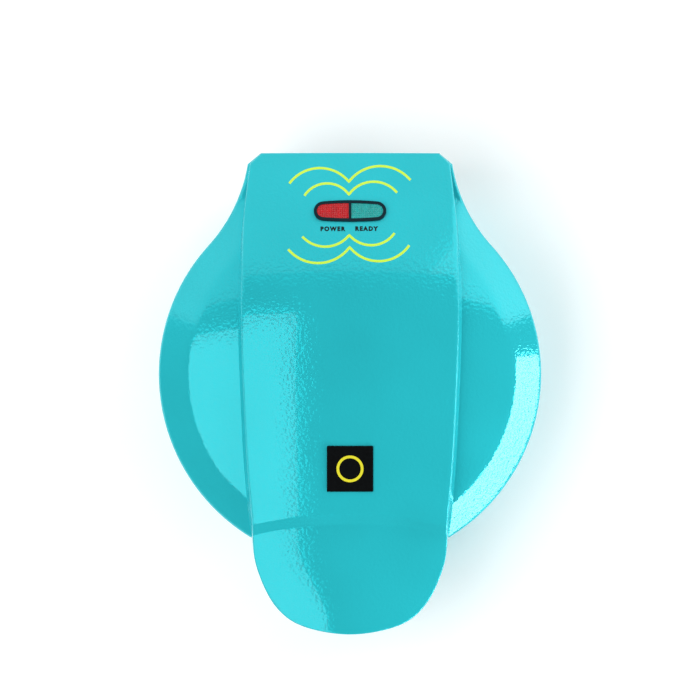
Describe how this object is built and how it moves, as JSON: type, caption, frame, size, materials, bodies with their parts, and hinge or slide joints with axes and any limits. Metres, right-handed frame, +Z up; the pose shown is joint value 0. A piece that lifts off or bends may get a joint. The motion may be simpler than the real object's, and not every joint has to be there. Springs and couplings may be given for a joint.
{
  "type": "donut maker",
  "caption": "Clamshell donut maker with round ring-mould plates in two hinged halves, front handles, a swinging latch and a signal-lamp pod.",
  "frame": {"origin": "middle of the footprint, on the surface that the feet stand on", "axes": "+Z up, +X to the right as seen from the handle, +Y from the handle towards the hinge"},
  "size_m": [0.2106, 0.2644, 0.094],
  "materials": {
    "turquoise_gloss": "glossy",
    "black_plastic": "satin",
    "black_coating": "non-stick coating, satin",
    "steel": "plated",
    "heater_steel": "oxidised",
    "rubber": "matt",
    "white_plastic": "matt",
    "red_lens": "clear, ribbed",
    "green_lens": "clear, ribbed",
    "lamp_glass": "clear",
    "badge_black": "printed",
    "sleeve": "woven sleeve"
  },
  "bodies": {
    "lid": {"lid_shell": "turquoise_gloss", "lid_frame": "black_plastic", "lid_frame_screws": "steel", "lid_handle_cover": "turquoise_gloss", "lid_handle_screws": "steel", "latch_pin": "steel", "badge_plate": "badge_black", "lamp_bezel": "turquoise_gloss", "power_lens": "red_lens", "ready_lens": "green_lens", "lamp_holder": "black_plastic", "power_lamp": "lamp_glass", "ready_lamp": "lamp_glass", "upper_cooking_plate": "black_coating", "upper_heater": "heater_steel", "upper_heat_shield": "steel", "upper_shield_screws": "steel", "upper_plate_screws": "steel", "upper_thermostat": "white_plastic", "lid_lead": "sleeve", "lid_wiring": "white_plastic"},
    "latch": {"latch": "turquoise_gloss"},
    "base": {"base_shell": "turquoise_gloss", "base_frame": "black_plastic", "base_screws": "steel", "base_handle_cover": "turquoise_gloss", "base_handle_screws": "steel", "hinge_pin_left": "steel", "hinge_pin_right": "steel", "foot_front_left": "rubber", "foot_front_right": "rubber", "foot_rear_left": "rubber", "foot_rear_right": "rubber", "lower_cooking_plate": "black_coating", "lower_heater": "heater_steel", "lower_heat_shield": "steel", "lower_shield_screws": "steel", "lower_plate_screws": "steel", "lower_thermostat": "white_plastic", "cord_gland": "black_plastic", "cord_clamp": "white_plastic", "terminal_block": "white_plastic", "base_wiring": "white_plastic", "base_lead": "sleeve"}
  },
  "joints": [
    {"name": "lid_hinge", "type": "hinge", "parent": "base", "child": "lid", "pos_m": [0, 0.11875, 0.046], "axis": [-1, 0, 0], "range_deg": [0, 95]},
    {"name": "latch_pivot", "type": "hinge", "parent": "lid", "child": "latch", "pos_m": [0, -0.12375, 0.063], "axis": [1, 0, 0], "range_deg": [0, 7]}
  ]
}
